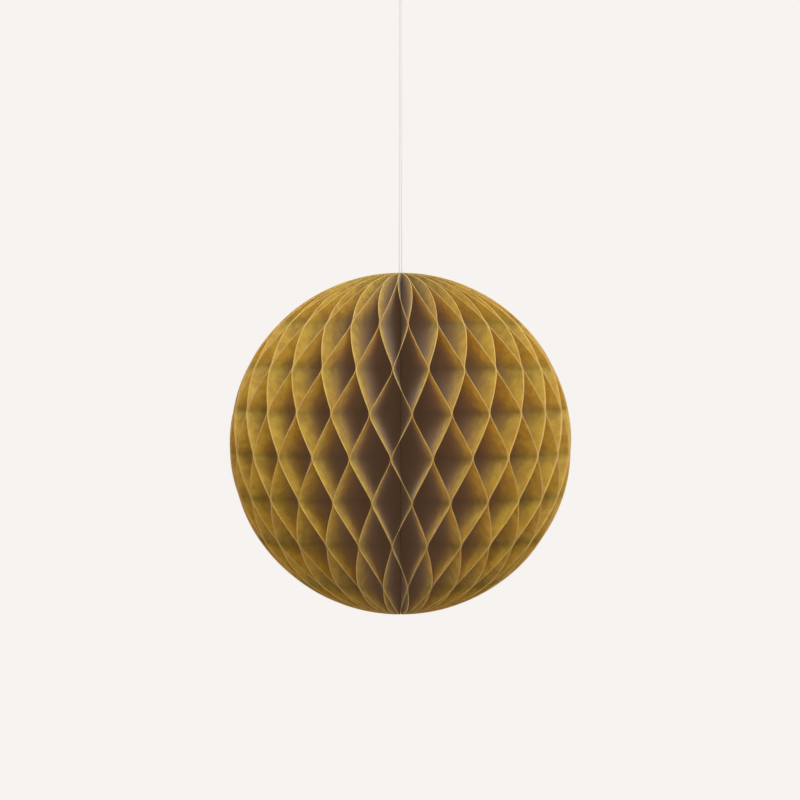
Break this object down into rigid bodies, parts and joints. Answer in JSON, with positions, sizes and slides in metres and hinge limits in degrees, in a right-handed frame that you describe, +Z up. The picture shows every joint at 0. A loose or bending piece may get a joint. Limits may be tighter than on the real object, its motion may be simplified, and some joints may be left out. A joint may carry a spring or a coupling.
{
  "type": "paper honeycomb ball",
  "caption": "Tissue honeycomb ball that unfolds from a flat pad about its spine and hangs on a doubled thread.",
  "frame": {"origin": "inside the top of the hanging loop, where a hook holds it", "axes": "+Z up along the thread and the ball's axis; the cover boards' seam is at the back, towards +Y; -Y is the front"},
  "size_m": [0.2032, 0.2023, 0.3853],
  "materials": {
    "gold_tissue": "matte gold-coloured tissue with a faint sheen",
    "greyboard": "plain grey-brown chipboard, matte",
    "clear_tape": "pale double-sided tape, satin",
    "glued_paper": "glue-stiffened edges of the gold tissue",
    "white_thread": "off-white twisted cotton thread, matte"
  },
  "bodies": {
    "string": {"hanging_string": "white_thread", "loop_knot": "white_thread"},
    "knot": {"string_knot": "white_thread"},
    "pad": {"cover_board_fixed": "greyboard", "closing_tape": "clear_tape", "spine_core": "glued_paper", "binding_thread": "white_thread"},
    "cover": {"cover_board_moving": "greyboard"},
    "leaf_01": {"leaf_01": "gold_tissue"},
    "leaf_02": {"leaf_02": "gold_tissue"},
    "leaf_03": {"leaf_03": "gold_tissue"},
    "leaf_04": {"leaf_04": "gold_tissue"},
    "leaf_05": {"leaf_05": "gold_tissue"},
    "leaf_06": {"leaf_06": "gold_tissue"},
    "leaf_07": {"leaf_07": "gold_tissue"},
    "leaf_08": {"leaf_08": "gold_tissue"},
    "leaf_09": {"leaf_09": "gold_tissue"},
    "leaf_10": {"leaf_10": "gold_tissue"},
    "leaf_11": {"leaf_11": "gold_tissue"},
    "leaf_12": {"leaf_12": "gold_tissue"},
    "leaf_13": {"leaf_13": "gold_tissue"},
    "leaf_14": {"leaf_14": "gold_tissue"},
    "leaf_15": {"leaf_15": "gold_tissue"},
    "leaf_16": {"leaf_16": "gold_tissue"},
    "leaf_17": {"leaf_17": "gold_tissue"},
    "leaf_18": {"leaf_18": "gold_tissue"},
    "leaf_19": {"leaf_19": "gold_tissue"},
    "leaf_20": {"leaf_20": "gold_tissue"},
    "leaf_21": {"leaf_21": "gold_tissue"},
    "leaf_22": {"leaf_22": "gold_tissue"},
    "leaf_23": {"leaf_23": "gold_tissue"},
    "leaf_24": {"leaf_24": "gold_tissue"},
    "leaf_25": {"leaf_25": "gold_tissue"},
    "leaf_26": {"leaf_26": "gold_tissue"},
    "leaf_27": {"leaf_27": "gold_tissue"},
    "leaf_28": {"leaf_28": "gold_tissue"},
    "leaf_29": {"leaf_29": "gold_tissue"},
    "leaf_30": {"leaf_30": "gold_tissue"},
    "leaf_31": {"leaf_31": "gold_tissue"},
    "leaf_32": {"leaf_32": "gold_tissue"},
    "leaf_33": {"leaf_33": "gold_tissue"},
    "leaf_34": {"leaf_34": "gold_tissue"},
    "leaf_35": {"leaf_35": "gold_tissue"},
    "leaf_36": {"leaf_36": "gold_tissue"},
    "leaf_37": {"leaf_37": "gold_tissue"},
    "leaf_38": {"leaf_38": "gold_tissue"},
    "leaf_39": {"leaf_39": "gold_tissue"},
    "leaf_40": {"leaf_40": "gold_tissue"},
    "leaf_41": {"leaf_41": "gold_tissue"},
    "leaf_42": {"leaf_42": "gold_tissue"},
    "leaf_43": {"leaf_43": "gold_tissue"},
    "leaf_44": {"leaf_44": "gold_tissue"},
    "leaf_45": {"leaf_45": "gold_tissue"},
    "leaf_46": {"leaf_46": "gold_tissue"},
    "leaf_47": {"leaf_47": "gold_tissue"},
    "leaf_48": {"leaf_48": "gold_tissue"},
    "leaf_49": {"leaf_49": "gold_tissue"},
    "leaf_50": {"leaf_50": "gold_tissue"},
    "leaf_51": {"leaf_51": "gold_tissue"},
    "leaf_52": {"leaf_52": "gold_tissue"}
  },
  "joints": [
    {"name": "spin", "type": "hinge", "parent": "string", "child": "knot", "pos_m": [0, 0, -0.1848], "axis": [0, 0, 1], "continuous": true},
    {"name": "swing", "type": "hinge", "parent": "knot", "child": "pad", "pos_m": [0, 0, -0.1848], "axis": [0, 1, 0], "range_deg": [-20, 20]},
    {"name": "fold", "type": "hinge", "parent": "pad", "child": "cover", "pos_m": [0, 0, -0.2831], "axis": [0, 0, -1], "range_deg": [0, 350], "deforming": ["leaf_01", "leaf_02", "leaf_03", "leaf_04", "leaf_05", "leaf_06", "leaf_07", "leaf_08", "leaf_09", "leaf_10", "leaf_11", "leaf_12", "leaf_13", "leaf_14", "leaf_15", "leaf_16", "leaf_17", "leaf_18", "leaf_19", "leaf_20", "leaf_21", "leaf_22", "leaf_23", "leaf_24", "leaf_25", "leaf_26", "leaf_27", "leaf_28", "leaf_29", "leaf_30", "leaf_31", "leaf_32", "leaf_33", "leaf_34", "leaf_35", "leaf_36", "leaf_37", "leaf_38", "leaf_39", "leaf_40", "leaf_41", "leaf_42", "leaf_43", "leaf_44", "leaf_45", "leaf_46", "leaf_47", "leaf_48", "leaf_49", "leaf_50", "leaf_51", "leaf_52"]},
    {"name": "leaf_01_turn", "type": "hinge", "parent": "pad", "child": "leaf_01", "pos_m": [0, 0, -0.2831], "axis": [0, 0, -1], "range_deg": [0, 3.9]},
    {"name": "leaf_02_turn", "type": "hinge", "parent": "pad", "child": "leaf_02", "pos_m": [0, 0, -0.2831], "axis": [0, 0, -1], "range_deg": [0, 10.6]},
    {"name": "leaf_03_turn", "type": "hinge", "parent": "pad", "child": "leaf_03", "pos_m": [0, 0, -0.2831], "axis": [0, 0, -1], "range_deg": [0, 17.3]},
    {"name": "leaf_04_turn", "type": "hinge", "parent": "pad", "child": "leaf_04", "pos_m": [0, 0, -0.2831], "axis": [0, 0, -1], "range_deg": [0, 24.1]},
    {"name": "leaf_05_turn", "type": "hinge", "parent": "pad", "child": "leaf_05", "pos_m": [0, 0, -0.2831], "axis": [0, 0, -1], "range_deg": [0, 30.8]},
    {"name": "leaf_06_turn", "type": "hinge", "parent": "pad", "child": "leaf_06", "pos_m": [0, 0, -0.2831], "axis": [0, 0, -1], "range_deg": [0, 37.5]},
    {"name": "leaf_07_turn", "type": "hinge", "parent": "pad", "child": "leaf_07", "pos_m": [0, 0, -0.2831], "axis": [0, 0, -1], "range_deg": [0, 44.2]},
    {"name": "leaf_08_turn", "type": "hinge", "parent": "pad", "child": "leaf_08", "pos_m": [0, 0, -0.2831], "axis": [0, 0, -1], "range_deg": [0, 51]},
    {"name": "leaf_09_turn", "type": "hinge", "parent": "pad", "child": "leaf_09", "pos_m": [0, 0, -0.2831], "axis": [0, 0, -1], "range_deg": [0, 57.7]},
    {"name": "leaf_10_turn", "type": "hinge", "parent": "pad", "child": "leaf_10", "pos_m": [0, 0, -0.2831], "axis": [0, 0, -1], "range_deg": [0, 64.4]},
    {"name": "leaf_11_turn", "type": "hinge", "parent": "pad", "child": "leaf_11", "pos_m": [0, 0, -0.2831], "axis": [0, 0, -1], "range_deg": [0, 71.2]},
    {"name": "leaf_12_turn", "type": "hinge", "parent": "pad", "child": "leaf_12", "pos_m": [0, 0, -0.2831], "axis": [0, 0, -1], "range_deg": [0, 77.9]},
    {"name": "leaf_13_turn", "type": "hinge", "parent": "pad", "child": "leaf_13", "pos_m": [0, 0, -0.2831], "axis": [0, 0, -1], "range_deg": [0, 84.6]},
    {"name": "leaf_14_turn", "type": "hinge", "parent": "pad", "child": "leaf_14", "pos_m": [0, 0, -0.2831], "axis": [0, 0, -1], "range_deg": [0, 91.4]},
    {"name": "leaf_15_turn", "type": "hinge", "parent": "pad", "child": "leaf_15", "pos_m": [0, 0, -0.2831], "axis": [0, 0, -1], "range_deg": [0, 98.1]},
    {"name": "leaf_16_turn", "type": "hinge", "parent": "pad", "child": "leaf_16", "pos_m": [0, 0, -0.2831], "axis": [0, 0, -1], "range_deg": [0, 104.8]},
    {"name": "leaf_17_turn", "type": "hinge", "parent": "pad", "child": "leaf_17", "pos_m": [0, 0, -0.2831], "axis": [0, 0, -1], "range_deg": [0, 111.6]},
    {"name": "leaf_18_turn", "type": "hinge", "parent": "pad", "child": "leaf_18", "pos_m": [0, 0, -0.2831], "axis": [0, 0, -1], "range_deg": [0, 118.3]},
    {"name": "leaf_19_turn", "type": "hinge", "parent": "pad", "child": "leaf_19", "pos_m": [0, 0, -0.2831], "axis": [0, 0, -1], "range_deg": [0, 125]},
    {"name": "leaf_20_turn", "type": "hinge", "parent": "pad", "child": "leaf_20", "pos_m": [0, 0, -0.2831], "axis": [0, 0, -1], "range_deg": [0, 131.8]},
    {"name": "leaf_21_turn", "type": "hinge", "parent": "pad", "child": "leaf_21", "pos_m": [0, 0, -0.2831], "axis": [0, 0, -1], "range_deg": [0, 138.5]},
    {"name": "leaf_22_turn", "type": "hinge", "parent": "pad", "child": "leaf_22", "pos_m": [0, 0, -0.2831], "axis": [0, 0, -1], "range_deg": [0, 145.2]},
    {"name": "leaf_23_turn", "type": "hinge", "parent": "pad", "child": "leaf_23", "pos_m": [0, 0, -0.2831], "axis": [0, 0, -1], "range_deg": [0, 151.9]},
    {"name": "leaf_24_turn", "type": "hinge", "parent": "pad", "child": "leaf_24", "pos_m": [0, 0, -0.2831], "axis": [0, 0, -1], "range_deg": [0, 158.7]},
    {"name": "leaf_25_turn", "type": "hinge", "parent": "pad", "child": "leaf_25", "pos_m": [0, 0, -0.2831], "axis": [0, 0, -1], "range_deg": [0, 165.4]},
    {"name": "leaf_26_turn", "type": "hinge", "parent": "pad", "child": "leaf_26", "pos_m": [0, 0, -0.2831], "axis": [0, 0, -1], "range_deg": [0, 172.1]},
    {"name": "leaf_27_turn", "type": "hinge", "parent": "pad", "child": "leaf_27", "pos_m": [0, 0, -0.2831], "axis": [0, 0, -1], "range_deg": [0, 178.9]},
    {"name": "leaf_28_turn", "type": "hinge", "parent": "pad", "child": "leaf_28", "pos_m": [0, 0, -0.2831], "axis": [0, 0, -1], "range_deg": [0, 185.6]},
    {"name": "leaf_29_turn", "type": "hinge", "parent": "pad", "child": "leaf_29", "pos_m": [0, 0, -0.2831], "axis": [0, 0, -1], "range_deg": [0, 192.3]},
    {"name": "leaf_30_turn", "type": "hinge", "parent": "pad", "child": "leaf_30", "pos_m": [0, 0, -0.2831], "axis": [0, 0, -1], "range_deg": [0, 199.1]},
    {"name": "leaf_31_turn", "type": "hinge", "parent": "pad", "child": "leaf_31", "pos_m": [0, 0, -0.2831], "axis": [0, 0, -1], "range_deg": [0, 205.8]},
    {"name": "leaf_32_turn", "type": "hinge", "parent": "pad", "child": "leaf_32", "pos_m": [0, 0, -0.2831], "axis": [0, 0, -1], "range_deg": [0, 212.5]},
    {"name": "leaf_33_turn", "type": "hinge", "parent": "pad", "child": "leaf_33", "pos_m": [0, 0, -0.2831], "axis": [0, 0, -1], "range_deg": [0, 219.2]},
    {"name": "leaf_34_turn", "type": "hinge", "parent": "pad", "child": "leaf_34", "pos_m": [0, 0, -0.2831], "axis": [0, 0, -1], "range_deg": [0, 226]},
    {"name": "leaf_35_turn", "type": "hinge", "parent": "pad", "child": "leaf_35", "pos_m": [0, 0, -0.2831], "axis": [0, 0, -1], "range_deg": [0, 232.7]},
    {"name": "leaf_36_turn", "type": "hinge", "parent": "pad", "child": "leaf_36", "pos_m": [0, 0, -0.2831], "axis": [0, 0, -1], "range_deg": [0, 239.4]},
    {"name": "leaf_37_turn", "type": "hinge", "parent": "pad", "child": "leaf_37", "pos_m": [0, 0, -0.2831], "axis": [0, 0, -1], "range_deg": [0, 246.2]},
    {"name": "leaf_38_turn", "type": "hinge", "parent": "pad", "child": "leaf_38", "pos_m": [0, 0, -0.2831], "axis": [0, 0, -1], "range_deg": [0, 252.9]},
    {"name": "leaf_39_turn", "type": "hinge", "parent": "pad", "child": "leaf_39", "pos_m": [0, 0, -0.2831], "axis": [0, 0, -1], "range_deg": [0, 259.6]},
    {"name": "leaf_40_turn", "type": "hinge", "parent": "pad", "child": "leaf_40", "pos_m": [0, 0, -0.2831], "axis": [0, 0, -1], "range_deg": [0, 266.4]},
    {"name": "leaf_41_turn", "type": "hinge", "parent": "pad", "child": "leaf_41", "pos_m": [0, 0, -0.2831], "axis": [0, 0, -1], "range_deg": [0, 273.1]},
    {"name": "leaf_42_turn", "type": "hinge", "parent": "pad", "child": "leaf_42", "pos_m": [0, 0, -0.2831], "axis": [0, 0, -1], "range_deg": [0, 279.8]},
    {"name": "leaf_43_turn", "type": "hinge", "parent": "pad", "child": "leaf_43", "pos_m": [0, 0, -0.2831], "axis": [0, 0, -1], "range_deg": [0, 286.6]},
    {"name": "leaf_44_turn", "type": "hinge", "parent": "pad", "child": "leaf_44", "pos_m": [0, 0, -0.2831], "axis": [0, 0, -1], "range_deg": [0, 293.3]},
    {"name": "leaf_45_turn", "type": "hinge", "parent": "pad", "child": "leaf_45", "pos_m": [0, 0, -0.2831], "axis": [0, 0, -1], "range_deg": [0, 300]},
    {"name": "leaf_46_turn", "type": "hinge", "parent": "pad", "child": "leaf_46", "pos_m": [0, 0, -0.2831], "axis": [0, 0, -1], "range_deg": [0, 306.8]},
    {"name": "leaf_47_turn", "type": "hinge", "parent": "pad", "child": "leaf_47", "pos_m": [0, 0, -0.2831], "axis": [0, 0, -1], "range_deg": [0, 313.5]},
    {"name": "leaf_48_turn", "type": "hinge", "parent": "pad", "child": "leaf_48", "pos_m": [0, 0, -0.2831], "axis": [0, 0, -1], "range_deg": [0, 320.2]},
    {"name": "leaf_49_turn", "type": "hinge", "parent": "pad", "child": "leaf_49", "pos_m": [0, 0, -0.2831], "axis": [0, 0, -1], "range_deg": [0, 326.9]},
    {"name": "leaf_50_turn", "type": "hinge", "parent": "pad", "child": "leaf_50", "pos_m": [0, 0, -0.2831], "axis": [0, 0, -1], "range_deg": [0, 333.7]},
    {"name": "leaf_51_turn", "type": "hinge", "parent": "pad", "child": "leaf_51", "pos_m": [0, 0, -0.2831], "axis": [0, 0, -1], "range_deg": [0, 340.4]},
    {"name": "leaf_52_turn", "type": "hinge", "parent": "pad", "child": "leaf_52", "pos_m": [0, 0, -0.2831], "axis": [0, 0, -1], "range_deg": [0, 347.1]}
  ],
  "couplings": [
    {"joint": "leaf_01_turn", "follows": "fold", "ratio": 0.009615},
    {"joint": "leaf_02_turn", "follows": "fold", "ratio": 0.028846},
    {"joint": "leaf_03_turn", "follows": "fold", "ratio": 0.048077},
    {"joint": "leaf_04_turn", "follows": "fold", "ratio": 0.067308},
    {"joint": "leaf_05_turn", "follows": "fold", "ratio": 0.086538},
    {"joint": "leaf_06_turn", "follows": "fold", "ratio": 0.10577},
    {"joint": "leaf_07_turn", "follows": "fold", "ratio": 0.125},
    {"joint": "leaf_08_turn", "follows": "fold", "ratio": 0.14423},
    {"joint": "leaf_09_turn", "follows": "fold", "ratio": 0.16346},
    {"joint": "leaf_10_turn", "follows": "fold", "ratio": 0.18269},
    {"joint": "leaf_11_turn", "follows": "fold", "ratio": 0.20192},
    {"joint": "leaf_12_turn", "follows": "fold", "ratio": 0.22115},
    {"joint": "leaf_13_turn", "follows": "fold", "ratio": 0.24038},
    {"joint": "leaf_14_turn", "follows": "fold", "ratio": 0.25961},
    {"joint": "leaf_15_turn", "follows": "fold", "ratio": 0.27885},
    {"joint": "leaf_16_turn", "follows": "fold", "ratio": 0.29808},
    {"joint": "leaf_17_turn", "follows": "fold", "ratio": 0.31731},
    {"joint": "leaf_18_turn", "follows": "fold", "ratio": 0.33654},
    {"joint": "leaf_19_turn", "follows": "fold", "ratio": 0.35577},
    {"joint": "leaf_20_turn", "follows": "fold", "ratio": 0.375},
    {"joint": "leaf_21_turn", "follows": "fold", "ratio": 0.39423},
    {"joint": "leaf_22_turn", "follows": "fold", "ratio": 0.41346},
    {"joint": "leaf_23_turn", "follows": "fold", "ratio": 0.43269},
    {"joint": "leaf_24_turn", "follows": "fold", "ratio": 0.45192},
    {"joint": "leaf_25_turn", "follows": "fold", "ratio": 0.47115},
    {"joint": "leaf_26_turn", "follows": "fold", "ratio": 0.49039},
    {"joint": "leaf_27_turn", "follows": "fold", "ratio": 0.50962},
    {"joint": "leaf_28_turn", "follows": "fold", "ratio": 0.52885},
    {"joint": "leaf_29_turn", "follows": "fold", "ratio": 0.54808},
    {"joint": "leaf_30_turn", "follows": "fold", "ratio": 0.56731},
    {"joint": "leaf_31_turn", "follows": "fold", "ratio": 0.58654},
    {"joint": "leaf_32_turn", "follows": "fold", "ratio": 0.60577},
    {"joint": "leaf_33_turn", "follows": "fold", "ratio": 0.625},
    {"joint": "leaf_34_turn", "follows": "fold", "ratio": 0.64423},
    {"joint": "leaf_35_turn", "follows": "fold", "ratio": 0.66346},
    {"joint": "leaf_36_turn", "follows": "fold", "ratio": 0.68269},
    {"joint": "leaf_37_turn", "follows": "fold", "ratio": 0.70192},
    {"joint": "leaf_38_turn", "follows": "fold", "ratio": 0.72115},
    {"joint": "leaf_39_turn", "follows": "fold", "ratio": 0.74038},
    {"joint": "leaf_40_turn", "follows": "fold", "ratio": 0.75962},
    {"joint": "leaf_41_turn", "follows": "fold", "ratio": 0.77885},
    {"joint": "leaf_42_turn", "follows": "fold", "ratio": 0.79808},
    {"joint": "leaf_43_turn", "follows": "fold", "ratio": 0.81731},
    {"joint": "leaf_44_turn", "follows": "fold", "ratio": 0.83654},
    {"joint": "leaf_45_turn", "follows": "fold", "ratio": 0.85577},
    {"joint": "leaf_46_turn", "follows": "fold", "ratio": 0.875},
    {"joint": "leaf_47_turn", "follows": "fold", "ratio": 0.89423},
    {"joint": "leaf_48_turn", "follows": "fold", "ratio": 0.91346},
    {"joint": "leaf_49_turn", "follows": "fold", "ratio": 0.93269},
    {"joint": "leaf_50_turn", "follows": "fold", "ratio": 0.95192},
    {"joint": "leaf_51_turn", "follows": "fold", "ratio": 0.97115},
    {"joint": "leaf_52_turn", "follows": "fold", "ratio": 0.99038}
  ]
}
